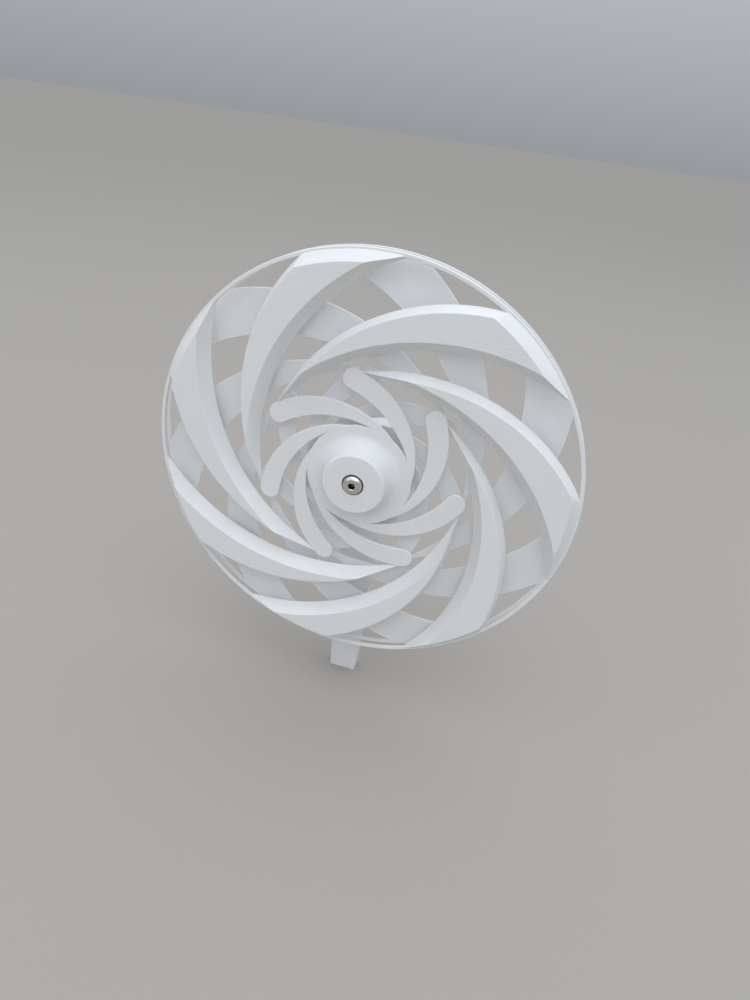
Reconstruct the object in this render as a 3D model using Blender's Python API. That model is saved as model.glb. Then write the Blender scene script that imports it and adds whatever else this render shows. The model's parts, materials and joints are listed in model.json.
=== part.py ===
"""Small two-rotor wind turbine on a ground stake.

Two printed wheels of the same shape turn on one fixed axle screw. The front wheel shows its
bevelled blades; the rear wheel is turned round, so their flat backs face each other and the
wind drives them opposite ways. Each wheel runs on one 5 x 16 x 5 mm ball bearing.

Frame: the origin is on the stake's axis at ground level, +Z runs up the stake, and the front
wheel faces -Y. A wheel is modelled lying on its flat back (z = 0) with its boss towards +Z.
"""

import math

import bmesh
import bpy
from mathutils import Vector

MM = 0.001
CLEARANCE = 0.25 * MM

# Wheel
BLADE_COUNT = 7
PITCH = 2 * math.pi / BLADE_COUNT
RING_INNER_RADIUS = 102.2 * MM
RING_OUTER_RADIUS = 104.05 * MM
RING_HEIGHT = 1.5 * MM
RING_EDGE = 0.4 * MM
BLADE_END_RADIUS = 103.2 * MM
BLADE_HEIGHT = 6.35 * MM
BLADE_EDGE_HEIGHT = 0.4 * MM
BLADE_WALL_HEIGHT = 1.35 * MM
LEADING_BEVEL = 2.2 * MM
TRAILING_BEVEL = 4.6 * MM
RING_BEVEL = 4.6 * MM
ARM_HEIGHT = 1.35 * MM
DISC_RADIUS = 26.1 * MM
DISC_EDGE = 0.4 * MM
BOSS_HEIGHT = 10.95 * MM
BOSS_RADIUS = 15.5 * MM
BOSS_ROUNDING = 1.3 * MM
BOSS_FLARE = 6.5 * MM

# The circles whose arcs outline one blade and one arm: centre, then radius
LEADING_CIRCLE = (Vector((42.1, -18.4)) * MM, 95.2 * MM)
TRAILING_CIRCLE = (Vector((28.2, -44.1)) * MM, 103.0 * MM)
ARM_OUTER_CIRCLE = (Vector((-20.5, -4.5)) * MM, 45.6 * MM)
ARM_INNER_CIRCLE = (Vector((-16.5, -17.0)) * MM, 48.8 * MM)
# Where an arm's tip lies, as a direction from the centre of its inner circle
ARM_TIP_ANGLE = math.radians(109.5)
WHEEL_CENTRE = Vector((0, 0))

# Ball bearing of each wheel
BEARING_BORE_RADIUS = 2.6 * MM
BEARING_RADIUS = 8.0 * MM
BEARING_WIDTH = 5.0 * MM
BALL_COUNT = 7
BALL_RADIUS = 1.39 * MM
BALL_CIRCLE_RADIUS = 5.25 * MM
GROOVE_GAP = 0.2 * MM
GROOVE_HALF_WIDTH = 0.85 * BALL_RADIUS
GROOVE_HALF_FLOOR = 0.4 * BALL_RADIUS
INNER_SEAT_RADIUS = 3.95 * MM
INNER_SHOULDER_RADIUS = 4.1 * MM
OUTER_SHOULDER_RADIUS = 6.3 * MM
SHIELD_SEAT_RADIUS = 6.9 * MM
SHIELD_SEAT_DEPTH = 0.7 * MM
SHIELD_THICKNESS = 0.3 * MM
CAGE_INNER_RADIUS = 4.75 * MM
CAGE_OUTER_RADIUS = 5.75 * MM
CAGE_SIDE = 1.9 * MM
CAGE_OPEN_SIDE = -0.2 * MM

# Axle screw, spacers and nut
SCREW_LENGTH = 45.0 * MM
SHANK_RADIUS = 2.35 * MM
SHANK_TIP_RADIUS = 1.95 * MM
SHANK_TIP_LENGTH = 0.6 * MM
HEAD_RADIUS = 4.75 * MM
HEAD_HEIGHT = 2.75 * MM
HEAD_RIM = 0.35 * MM
HEAD_FLAT_RADIUS = 2.1 * MM
SOCKET_ACROSS_FLATS = 3.0 * MM
SOCKET_DEPTH = 1.7 * MM
HEAD_SINK = 1.0 * MM
HEAD_HOLE_RADIUS = 5.3 * MM
SPACER_RADIUS = 3.9 * MM
NUT_ACROSS_FLATS = 8.0 * MM
NUT_METAL_HEIGHT = 3.6 * MM
NUT_HEIGHT = 5.0 * MM
NUT_CROWN_RADIUS = 3.9 * MM
NUT_RECESS_RADIUS = 3.3 * MM
NUT_RECESS_START = 3.4 * MM
NUT_PROTRUSION = 0.85 * MM
COLLAR_RADIUS = 3.18 * MM
COLLAR_BORE_RADIUS = 2.55 * MM
COLLAR_END = 4.8 * MM

# Stake
AXLE_HEIGHT = 142.0 * MM
STAKE_THICKNESS = 8.0 * MM
STAKE_TOP_HALF_WIDTH = 12.2 * MM
STAKE_GROUND_HALF_WIDTH = 8.0 * MM
SPIKE_START = 5.0 * MM
SPIKE_LENGTH = 85.0 * MM
SPIKE_TIP_HALF_WIDTH = 1.2 * MM
STAKE_ROUNDING = 1.6 * MM
STAKE_CORNER_ANGLE = math.radians(40)
HEAD_BOSS_RADIUS = 18.5 * MM
HEAD_BOSS_DEPTH = 22.0 * MM
HEAD_BOSS_EDGE = 0.8 * MM
HEAD_BOSS_ROUNDING = 2.4 * MM

# Places along the axle
WHEEL_GAP = 3.9 * MM
HUB_TO_STAKE = 4.35 * MM
STAKE_FRONT = -STAKE_THICKNESS / 2
WHEELS_MIDDLE = STAKE_FRONT - HUB_TO_STAKE - BOSS_HEIGHT - WHEEL_GAP / 2
POCKET_DEPTH = 8.0 * MM
POCKET_RADIUS = BEARING_RADIUS + CLEARANCE
BEARING_MIDDLE = POCKET_DEPTH - CLEARANCE - BEARING_WIDTH / 2
HEAD_SEAT = WHEELS_MIDDLE - WHEEL_GAP / 2 - BOSS_HEIGHT + HEAD_SINK
SCREW_END = HEAD_SEAT + SCREW_LENGTH
NUT_START = SCREW_END - NUT_PROTRUSION - NUT_HEIGHT

# How far each wheel is turned from the position in which it was drawn
FRONT_TURN = math.radians(15.1)
REAR_TURN = math.radians(3.2)

# How finely round shapes are divided
ARC_STEPS = 12
ROUND_STEPS = 36
SMALL_ROUND_STEPS = 24
CUTTER_STEPS = 12
BALL_SEGMENTS = 10
BALL_ROWS = 6
CREASE_ANGLE = math.radians(30)


def clear_scene():
    for old in list(bpy.data.objects):
        bpy.data.objects.remove(old)


def make_material(name, colour, roughness, metallic):
    material = bpy.data.materials.new(name)
    material.use_nodes = True
    shader = material.node_tree.nodes["Principled BSDF"]
    shader.inputs["Base Color"].default_value = (*colour, 1)
    shader.inputs["Roughness"].default_value = roughness
    shader.inputs["Metallic"].default_value = metallic
    return material


def add_object(name, mesh, material, parent=None, location=(0, 0, 0), turn=0.0):
    """Adds a shaded piece; turn is its rotation about the parent's Z, the axle."""
    piece = bpy.data.objects.new(name, mesh)
    bpy.context.collection.objects.link(piece)
    if not mesh.materials:
        mesh.materials.append(material)
    mesh.shade_smooth()
    mesh.set_sharp_from_angle(angle=CREASE_ANGLE)
    piece.parent = parent
    piece.location = location
    piece.rotation_euler = (0, 0, turn)
    return piece


def finish_mesh(name, work):
    """Turns a bmesh of closed shells into a mesh with every face pointing out."""
    bmesh.ops.remove_doubles(work, verts=work.verts, dist=1e-7)
    bmesh.ops.recalc_face_normals(work, faces=work.faces)
    mesh = bpy.data.meshes.new(name)
    work.to_mesh(mesh)
    work.free()
    return mesh


# ---------------------------------------------------------------- flat outlines


def circle_crossing(circle_a, circle_b):
    """The point where two circles cross, on the right of the line from centre a to b."""
    (centre_a, radius_a), (centre_b, radius_b) = circle_a, circle_b
    between = centre_b - centre_a
    distance = between.length
    along = (radius_a**2 - radius_b**2 + distance**2) / (2 * distance)
    aside = math.sqrt(radius_a**2 - along**2)
    direction = between / distance
    right = Vector((direction.y, -direction.x))
    return centre_a + along * direction + aside * right


def arc(centre, start, end, steps, turn):
    """Points from start up to, not including, end round a centre; turn is +1 anticlockwise."""
    radius = (start - centre).length
    first = math.atan2(*(start - centre).yx)
    sweep = math.atan2(*(end - centre).yx) - first
    sweep = sweep % (2 * math.pi) if turn > 0 else -(-sweep % (2 * math.pi))
    angles = [first + sweep * step / steps for step in range(steps)]
    return [centre + radius * Vector((math.cos(a), math.sin(a))) for a in angles]


def turned_outline(outline, angle):
    cosine, sine = math.cos(angle), math.sin(angle)
    return [Vector((cosine * p.x - sine * p.y, sine * p.x + cosine * p.y)) for p in outline]


def blade_outline(leading_inset, trailing_inset, ring_inset):
    """A crescent between two arcs that meet in a point, cut off by the ring."""
    leading_centre, leading_radius = LEADING_CIRCLE
    trailing_centre, trailing_radius = TRAILING_CIRCLE
    leading = (leading_centre, leading_radius - leading_inset)
    trailing = (trailing_centre, trailing_radius + trailing_inset)
    rim = (WHEEL_CENTRE, BLADE_END_RADIUS - ring_inset)
    point = circle_crossing(leading, trailing)
    leading_corner = circle_crossing(leading, rim)
    trailing_corner = circle_crossing(trailing, rim)
    rim_steps = ARC_STEPS // 3
    return (
        arc(leading_centre, point, leading_corner, ARC_STEPS, -1)
        + arc(WHEEL_CENTRE, leading_corner, trailing_corner, rim_steps, -1)
        + arc(trailing_centre, trailing_corner, point, ARC_STEPS, +1)
    )


def arm_tip():
    """Centre and radius of the circle at an arm's tip, which touches both of the arm's arcs."""
    outer_centre, outer_radius = ARM_OUTER_CIRCLE
    inner_centre, inner_radius = ARM_INNER_CIRCLE
    towards_tip = Vector((math.cos(ARM_TIP_ANGLE), math.sin(ARM_TIP_ANGLE)))
    between = inner_centre - outer_centre
    radii = outer_radius + inner_radius
    reach = (radii**2 - between.length_squared) / (2 * (radii + towards_tip.dot(between)))
    return inner_centre + reach * towards_tip, reach - inner_radius


def arm_outline():
    """A thin curved arm: round at its tip, running tangentially into the hub's disc."""
    outer_centre, outer_radius = ARM_OUTER_CIRCLE
    inner_centre, inner_radius = ARM_INNER_CIRCLE
    tip, tip_radius = arm_tip()
    outer_tip = tip + tip_radius * (tip - outer_centre).normalized()
    inner_tip = tip - tip_radius * (tip - inner_centre).normalized()
    outer_root = outer_centre - outer_radius * outer_centre.normalized()
    inner_root = inner_centre - inner_radius * inner_centre.normalized()
    tip_steps = ARC_STEPS // 2
    return (
        arc(outer_centre, outer_tip, outer_root, ARC_STEPS, -1)
        + [outer_root]
        + arc(inner_centre, inner_root, inner_tip, ARC_STEPS, +1)
        + arc(tip, inner_tip, outer_tip, tip_steps, -1)
    )


# ---------------------------------------------------------------- solid shapes


def loft(work, levels):
    """Adds a closed solid through (outline, height) levels of equal point counts."""
    rings = [
        [work.verts.new((point.x, point.y, height)) for point in outline]
        for outline, height in levels
    ]
    count = len(rings[0])
    for lower, upper in zip(rings, rings[1:]):
        for index in range(count):
            following = (index + 1) % count
            work.faces.new((lower[index], lower[following], upper[following], upper[index]))
    work.faces.new(rings[0])
    work.faces.new(rings[-1])


def turned_ring(work, profile, steps):
    """Adds a ring turned about Z from a closed profile of (radius, height) points."""
    rings = []
    for step in range(steps):
        angle = 2 * math.pi * step / steps
        cosine, sine = math.cos(angle), math.sin(angle)
        rings.append([work.verts.new((r * cosine, r * sine, z)) for r, z in profile])
    count = len(profile)
    for step in range(steps):
        here, there = rings[step], rings[(step + 1) % steps]
        for index in range(count):
            following = (index + 1) % count
            work.faces.new((here[index], there[index], there[following], here[following]))


def turned_solid(work, profile, steps):
    """Adds a solid turned about Z; its profile starts and ends in flat round faces."""
    levels = []
    for radius, height in profile:
        angles = [2 * math.pi * step / steps for step in range(steps)]
        outline = [Vector((radius * math.cos(a), radius * math.sin(a))) for a in angles]
        levels.append((outline, height))
    loft(work, levels)


def quarter(centre_radius, centre_height, reach, rise, first, last, steps):
    """Profile points on an ellipse's arc, with angles in degrees from the outward radius."""
    points = []
    for step in range(steps + 1):
        angle = math.radians(first + (last - first) * step / steps)
        radius = centre_radius + reach * math.cos(angle)
        points.append((radius, centre_height + rise * math.sin(angle)))
    return points


def hexagon(across_flats):
    radius = across_flats / math.sqrt(3)
    angles = [math.radians(60 * corner) for corner in range(6)]
    return [Vector((radius * math.cos(a), radius * math.sin(a))) for a in angles]


def combine(base, tools, operation):
    """Bakes base with each tool joined or cut, and removes the objects used."""
    for tool in tools:
        tool.hide_render = True
        tool.display_type = "WIRE"
        boolean = base.modifiers.new(tool.name, "BOOLEAN")
        boolean.operation = operation
        boolean.solver = "EXACT"
        boolean.object = tool
    bpy.context.view_layer.update()
    evaluated = base.evaluated_get(bpy.context.evaluated_depsgraph_get())
    work = bmesh.new()
    work.from_mesh(evaluated.to_mesh())
    bmesh.ops.remove_doubles(work, verts=work.verts, dist=1e-6)
    bmesh.ops.dissolve_degenerate(work, edges=work.edges, dist=1e-6)
    name = base.name
    for used in [base, *tools]:
        bpy.data.objects.remove(used)
    return finish_mesh(name, work)


def plain_object(name, work):
    piece = bpy.data.objects.new(name, finish_mesh(name, work))
    bpy.context.collection.objects.link(piece)
    return piece


# ---------------------------------------------------------------- wheels


def ring_and_hub():
    """The rim, and the hub's disc with its flared boss, bearing pocket and screw hole."""
    work = bmesh.new()
    rim = [
        (RING_INNER_RADIUS, 0),
        (RING_OUTER_RADIUS, 0),
        (RING_OUTER_RADIUS, RING_HEIGHT - RING_EDGE),
        (RING_OUTER_RADIUS - RING_EDGE, RING_HEIGHT),
        (RING_INNER_RADIUS, RING_HEIGHT),
    ]
    turned_ring(work, rim, 2 * ROUND_STEPS)
    wall_top = BOSS_HEIGHT - BOSS_ROUNDING
    flare_radius = BOSS_RADIUS + BOSS_FLARE
    hub = [
        (POCKET_RADIUS, 0),
        (DISC_RADIUS, 0),
        (DISC_RADIUS, ARM_HEIGHT - DISC_EDGE),
        (DISC_RADIUS - DISC_EDGE, ARM_HEIGHT),
        *quarter(flare_radius, wall_top, BOSS_FLARE, wall_top - ARM_HEIGHT, 270, 180, 4),
        *quarter(BOSS_RADIUS - BOSS_ROUNDING, wall_top, BOSS_ROUNDING, BOSS_ROUNDING, 45, 90, 1),
        (HEAD_HOLE_RADIUS, BOSS_HEIGHT),
        (HEAD_HOLE_RADIUS, POCKET_DEPTH),
        (POCKET_RADIUS, POCKET_DEPTH),
    ]
    turned_ring(work, hub, ROUND_STEPS)
    return plain_object("wheel", work)


def blades():
    """Seven crescents with a steep leading bevel, a wide trailing one and one at the ring."""
    slope_share = (BLADE_WALL_HEIGHT - BLADE_EDGE_HEIGHT) / (BLADE_HEIGHT - BLADE_EDGE_HEIGHT)
    levels = [
        (blade_outline(0, 0, 0), 0),
        (blade_outline(0, 0, 0), BLADE_EDGE_HEIGHT),
        (blade_outline(0, TRAILING_BEVEL * slope_share, 0), BLADE_WALL_HEIGHT),
        (blade_outline(LEADING_BEVEL, TRAILING_BEVEL, RING_BEVEL), BLADE_HEIGHT),
    ]
    work = bmesh.new()
    for number in range(BLADE_COUNT):
        loft(work, [(turned_outline(line, number * PITCH), z) for line, z in levels])
    return plain_object("blades", work)


def arms():
    work = bmesh.new()
    for number in range(BLADE_COUNT):
        line = turned_outline(arm_outline(), number * PITCH)
        loft(work, [(line, 0), (line, ARM_HEIGHT)])
    return plain_object("arms", work)


def wheel_mesh():
    return combine(ring_and_hub(), [blades(), arms()], "UNION")


# ---------------------------------------------------------------- bearings


def ring_mesh(name, profile):
    work = bmesh.new()
    turned_ring(work, profile, SMALL_ROUND_STEPS)
    return finish_mesh(name, work)


def race_profile(face_radius, seat_radius, shoulder_radius, groove_radius):
    """A race's section, with the ball groove halfway along and a seat for each shield."""
    half = BEARING_WIDTH / 2
    seat = half - SHIELD_SEAT_DEPTH
    return [
        (face_radius, -half),
        (face_radius, half),
        (seat_radius, half),
        (seat_radius, seat),
        (shoulder_radius, seat),
        (shoulder_radius, GROOVE_HALF_WIDTH),
        (groove_radius, GROOVE_HALF_FLOOR),
        (groove_radius, -GROOVE_HALF_FLOOR),
        (shoulder_radius, -GROOVE_HALF_WIDTH),
        (shoulder_radius, -seat),
        (seat_radius, -seat),
        (seat_radius, -half),
    ]


def outer_race_mesh():
    groove = BALL_CIRCLE_RADIUS + BALL_RADIUS + GROOVE_GAP
    profile = race_profile(BEARING_RADIUS, SHIELD_SEAT_RADIUS, OUTER_SHOULDER_RADIUS, groove)
    return ring_mesh("outer_race", profile)


def inner_race_mesh():
    groove = BALL_CIRCLE_RADIUS - BALL_RADIUS - GROOVE_GAP
    radii = (BEARING_BORE_RADIUS, INNER_SEAT_RADIUS, INNER_SHOULDER_RADIUS, groove)
    return ring_mesh("inner_race", race_profile(*radii))


def shield_mesh():
    inner = INNER_SHOULDER_RADIUS + CLEARANCE
    outer = SHIELD_SEAT_RADIUS - CLEARANCE
    half = SHIELD_THICKNESS / 2
    return ring_mesh("shield", [(inner, -half), (outer, -half), (outer, half), (inner, half)])


def cage_mesh():
    """A crown cage: a ring with a round pocket for each ball, open on one side."""
    ring = bmesh.new()
    profile = [
        (CAGE_INNER_RADIUS, CAGE_OPEN_SIDE),
        (CAGE_OUTER_RADIUS, CAGE_OPEN_SIDE),
        (CAGE_OUTER_RADIUS, CAGE_SIDE),
        (CAGE_INNER_RADIUS, CAGE_SIDE),
    ]
    turned_ring(ring, profile, SMALL_ROUND_STEPS)
    pocket_work = bmesh.new()
    pocket_radius = BALL_RADIUS + CLEARANCE
    turned_solid(pocket_work, [(pocket_radius, 0), (pocket_radius, BEARING_RADIUS)], CUTTER_STEPS)
    pocket = plain_object("pocket", pocket_work)
    cutters = []
    for number in range(BALL_COUNT):
        cutter = pocket.copy()
        cutter.rotation_euler = (0, math.pi / 2, number * 2 * math.pi / BALL_COUNT)
        bpy.context.collection.objects.link(cutter)
        cutters.append(cutter)
    bpy.data.objects.remove(pocket)
    return combine(plain_object("cage", ring), cutters, "DIFFERENCE")


def ball_mesh():
    work = bmesh.new()
    bmesh.ops.create_uvsphere(
        work, u_segments=BALL_SEGMENTS, v_segments=BALL_ROWS, radius=BALL_RADIUS
    )
    return finish_mesh("ball", work)


def bearing_meshes():
    return {
        "outer_race": outer_race_mesh(),
        "inner_race": inner_race_mesh(),
        "shield": shield_mesh(),
        "cage": cage_mesh(),
        "ball": ball_mesh(),
    }


def add_bearing(side, meshes, steel, axis):
    """One bearing with its pieces on the wheel's axis, halfway along the bearing's width."""
    middle = (0, 0, BEARING_MIDDLE)
    for piece in ("outer_race", "inner_race", "cage"):
        add_object(f"{side}_bearing_{piece}", meshes[piece], steel, axis, middle)
    shield_offset = BEARING_WIDTH / 2 - SHIELD_SEAT_DEPTH / 2
    for place, sign in (("boss_side", 1), ("flat_side", -1)):
        height = BEARING_MIDDLE + sign * shield_offset
        add_object(f"{side}_bearing_shield_{place}", meshes["shield"], steel, axis, (0, 0, height))
    for number in range(BALL_COUNT):
        angle = number * 2 * math.pi / BALL_COUNT
        x = BALL_CIRCLE_RADIUS * math.cos(angle)
        y = BALL_CIRCLE_RADIUS * math.sin(angle)
        name = f"{side}_bearing_ball_{number + 1}"
        add_object(name, meshes["ball"], steel, axis, (x, y, BEARING_MIDDLE))


# ---------------------------------------------------------------- axle


def spacer_mesh(length):
    bore = BEARING_BORE_RADIUS
    end = length / 2
    profile = [(bore, -end), (SPACER_RADIUS, -end), (SPACER_RADIUS, end), (bore, end)]
    return ring_mesh("spacer", profile)


def screw_mesh():
    """A button-head socket screw: head underside at z = 0, shank towards -Z."""
    work = bmesh.new()
    dome_reach = HEAD_RADIUS - HEAD_FLAT_RADIUS
    profile = [
        (SHANK_TIP_RADIUS, -SCREW_LENGTH),
        (SHANK_RADIUS, -SCREW_LENGTH + SHANK_TIP_LENGTH),
        (SHANK_RADIUS, 0),
        (HEAD_RADIUS, 0),
        *quarter(HEAD_FLAT_RADIUS, HEAD_RIM, dome_reach, HEAD_HEIGHT - HEAD_RIM, 0, 90, 6),
    ]
    turned_solid(work, profile, SMALL_ROUND_STEPS)
    socket = bmesh.new()
    socket_outline = hexagon(SOCKET_ACROSS_FLATS)
    loft(socket, [(socket_outline, HEAD_HEIGHT - SOCKET_DEPTH), (socket_outline, 2 * HEAD_HEIGHT)])
    return combine(plain_object("screw", work), [plain_object("socket", socket)], "DIFFERENCE")


def nut_mesh():
    """The locknut's hexagon, with the recess that holds its plastic collar."""
    body = bmesh.new()
    outline = hexagon(NUT_ACROSS_FLATS)
    loft(body, [(outline, 0), (outline, NUT_METAL_HEIGHT)])
    crown_work = bmesh.new()
    crown = [(NUT_CROWN_RADIUS, NUT_METAL_HEIGHT / 2), (NUT_CROWN_RADIUS, NUT_HEIGHT)]
    turned_solid(crown_work, crown, SMALL_ROUND_STEPS)
    bore = bmesh.new()
    bore_radius = SHANK_RADIUS + CLEARANCE
    steps = [
        (bore_radius, -NUT_HEIGHT),
        (bore_radius, NUT_RECESS_START),
        (NUT_RECESS_RADIUS, NUT_RECESS_START),
        (NUT_RECESS_RADIUS, 2 * NUT_HEIGHT),
    ]
    turned_solid(bore, steps, SMALL_ROUND_STEPS)
    joined = combine(plain_object("nut", body), [plain_object("crown", crown_work)], "UNION")
    nut = bpy.data.objects.new("nut", joined)
    bpy.context.collection.objects.link(nut)
    return combine(nut, [plain_object("bore", bore)], "DIFFERENCE")


def collar_mesh():
    inner, outer = COLLAR_BORE_RADIUS, COLLAR_RADIUS
    start, end = NUT_METAL_HEIGHT, COLLAR_END
    return ring_mesh("collar", [(inner, start), (outer, start), (outer, end), (inner, end)])


def add_axle(materials, axis):
    """The screw, its three spacers and its locknut. The axis points to the front."""
    steel = materials["stainless"]
    add_object("axle_screw", screw_mesh(), steel, axis, (0, 0, -HEAD_SEAT))
    bearing_offset = WHEEL_GAP / 2 + BEARING_MIDDLE
    race_end = bearing_offset + BEARING_WIDTH / 2
    race_start = bearing_offset - BEARING_WIDTH / 2
    front_room = (-HEAD_SEAT + WHEELS_MIDDLE) - race_end
    rear_room = (STAKE_FRONT - WHEELS_MIDDLE) - race_end
    spacers = {
        "front_spacer": (front_room, race_end + front_room / 2),
        "middle_spacer": (2 * race_start, 0),
        "rear_spacer": (rear_room, -race_end - rear_room / 2),
    }
    for name, (room, offset) in spacers.items():
        mesh = spacer_mesh(room - 2 * CLEARANCE)
        add_object(name, mesh, steel, axis, (0, 0, -WHEELS_MIDDLE + offset))
    nut_axis = add_axis("nut_axis", 0, math.pi)
    add_object("locknut", nut_mesh(), steel, nut_axis, (0, 0, NUT_START))
    add_object("locknut_collar", collar_mesh(), materials["nylon"], nut_axis, (0, 0, NUT_START))


# ---------------------------------------------------------------- stake


def stake_plate():
    """The flat tapering plate, from inside the head down to the spike's blunt tip."""
    levels = [
        (AXLE_HEIGHT, STAKE_TOP_HALF_WIDTH),
        (SPIKE_START, STAKE_GROUND_HALF_WIDTH),
        (-SPIKE_LENGTH, SPIKE_TIP_HALF_WIDTH),
    ]
    right = [Vector((half, height)) for height, half in levels]
    left = [Vector((-half, height)) for height, half in reversed(levels)]
    work = bmesh.new()
    loft(work, [(right + left, -STAKE_THICKNESS / 2), (right + left, STAKE_THICKNESS / 2)])
    plate = plain_object("plate", work)
    bevel = plate.modifiers.new("rounding", "BEVEL")
    bevel.width = STAKE_ROUNDING
    bevel.segments = 3
    bevel.limit_method = "ANGLE"
    bevel.angle_limit = STAKE_CORNER_ANGLE
    return plate


def stake_mesh():
    """Plate and head, with the axle's bore and the locknut's pocket. Z is the back here."""
    front = -STAKE_THICKNESS / 2
    back = front + HEAD_BOSS_DEPTH
    head_work = bmesh.new()
    rounding = HEAD_BOSS_ROUNDING
    profile = [
        (HEAD_BOSS_RADIUS - HEAD_BOSS_EDGE, front),
        (HEAD_BOSS_RADIUS, front + HEAD_BOSS_EDGE),
        *quarter(HEAD_BOSS_RADIUS - rounding, back - rounding, rounding, rounding, 0, 90, 4),
    ]
    turned_solid(head_work, profile, ROUND_STEPS)
    head = plain_object("head", head_work)
    bore_work = bmesh.new()
    bore_radius = SHANK_RADIUS + CLEARANCE
    turned_solid(bore_work, [(bore_radius, 2 * front), (bore_radius, 2 * back)], SMALL_ROUND_STEPS)
    pocket_work = bmesh.new()
    pocket_outline = hexagon(NUT_ACROSS_FLATS + 2 * CLEARANCE)
    loft(pocket_work, [(pocket_outline, NUT_START - CLEARANCE), (pocket_outline, 2 * back)])
    bore = plain_object("bore", bore_work)
    pocket = plain_object("pocket", pocket_work)
    for round_piece in (head, bore, pocket):
        round_piece.location = (0, AXLE_HEIGHT, 0)
    joined = combine(stake_plate(), [head], "UNION")
    solid = bpy.data.objects.new("stake", joined)
    bpy.context.collection.objects.link(solid)
    return combine(solid, [bore, pocket], "DIFFERENCE")


def add_stake(plastic):
    """The plate is drawn flat in X and Y, so it is stood up with its back towards +Y."""
    stake = add_object("ground_stake", stake_mesh(), plastic)
    stake.rotation_euler = (math.pi / 2, 0, math.pi)


# ---------------------------------------------------------------- the whole turbine


def add_axis(name, along, half_turn):
    """An empty on the axle whose Z points to the front, or to the back after a half turn."""
    axis = bpy.data.objects.new(name, None)
    axis.location = (0, along, AXLE_HEIGHT)
    axis.rotation_euler = (math.pi / 2, 0, half_turn)
    bpy.context.collection.objects.link(axis)
    return axis


def main():
    clear_scene()
    materials = {
        "white_plastic": make_material("white_plastic", (0.80, 0.81, 0.83), 0.5, 0.0),
        "stainless": make_material("stainless", (0.62, 0.61, 0.58), 0.2, 1.0),
        "bearing_steel": make_material("bearing_steel", (0.55, 0.55, 0.56), 0.3, 1.0),
        "nylon": make_material("nylon", (0.75, 0.77, 0.80), 0.5, 0.0),
    }
    add_stake(materials["white_plastic"])
    add_axle(materials, add_axis("axle_axis", 0, 0))
    wheel = wheel_mesh()
    bearing = bearing_meshes()
    sides = (("front", -WHEEL_GAP / 2, 0, FRONT_TURN), ("rear", WHEEL_GAP / 2, math.pi, REAR_TURN))
    for side, offset, half_turn, turn in sides:
        axis = add_axis(f"{side}_axis", WHEELS_MIDDLE + offset, half_turn)
        add_object(f"{side}_rotor", wheel, materials["white_plastic"], axis, turn=turn)
        add_bearing(side, bearing, materials["bearing_steel"], axis)


main()
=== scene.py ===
"""Looks for the two-wheel wind turbine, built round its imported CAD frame.

Each printed piece is remade with finer arcs and softly rounded edges, the screw gets its thread,
and every piece gets a procedural material: printed plastic with layer and raster lines, polished
and ground steel, and nylon. A wheel is drawn lying on its flat back, with its boss towards +Z.
Lengths are in metres; angles are in radians unless a comment says degrees.
"""

import json  # noqa: E402
import math  # noqa: E402

import bmesh  # noqa: E402
import bpy  # noqa: E402
from mathutils import Matrix, Vector  # noqa: E402


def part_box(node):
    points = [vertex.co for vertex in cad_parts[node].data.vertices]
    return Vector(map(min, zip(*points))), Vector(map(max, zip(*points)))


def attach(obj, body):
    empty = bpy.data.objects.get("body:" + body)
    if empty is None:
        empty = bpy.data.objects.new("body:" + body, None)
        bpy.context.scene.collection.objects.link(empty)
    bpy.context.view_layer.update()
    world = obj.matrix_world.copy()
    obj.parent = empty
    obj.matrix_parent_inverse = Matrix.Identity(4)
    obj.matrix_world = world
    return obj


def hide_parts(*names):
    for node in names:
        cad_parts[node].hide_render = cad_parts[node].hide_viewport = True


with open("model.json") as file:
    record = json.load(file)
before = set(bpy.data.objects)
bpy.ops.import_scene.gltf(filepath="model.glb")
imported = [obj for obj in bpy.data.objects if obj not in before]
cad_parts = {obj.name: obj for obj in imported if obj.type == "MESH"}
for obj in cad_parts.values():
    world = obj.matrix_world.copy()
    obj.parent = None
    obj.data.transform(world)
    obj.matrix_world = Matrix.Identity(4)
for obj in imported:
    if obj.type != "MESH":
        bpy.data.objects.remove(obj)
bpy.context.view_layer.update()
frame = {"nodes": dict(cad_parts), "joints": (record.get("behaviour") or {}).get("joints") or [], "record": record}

MM = 0.001

# ---------------------------------------------------------------- places, read from the frame


def joint_point(name):
    found = [joint for joint in frame["joints"] if joint["name"] == name]
    return Vector(found[0]["pos_m"])


FRONT_FACE = joint_point("front_rotor_spin")
REAR_FACE = joint_point("rear_rotor_spin")
AXLE_HEIGHT = FRONT_FACE.z
WHEEL_LOW, WHEEL_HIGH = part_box("front_rotor")
RING_OUTER_RADIUS = WHEEL_HIGH.z - AXLE_HEIGHT
BOSS_HEIGHT = FRONT_FACE.y - WHEEL_LOW.y
STAKE_LOW, STAKE_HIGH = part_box("ground_stake")
STAKE_HEAD_RADIUS = STAKE_HIGH.z - AXLE_HEIGHT
SCREW_LOW, SCREW_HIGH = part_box("axle_screw")
NUT_LOW, NUT_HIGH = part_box("locknut")
BEARING_LOW, BEARING_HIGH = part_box("front_bearing_outer_race")
BALL_LOW, BALL_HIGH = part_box("front_bearing_ball_1")

# ---------------------------------------------------------------- dimensions of the wheels

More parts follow.
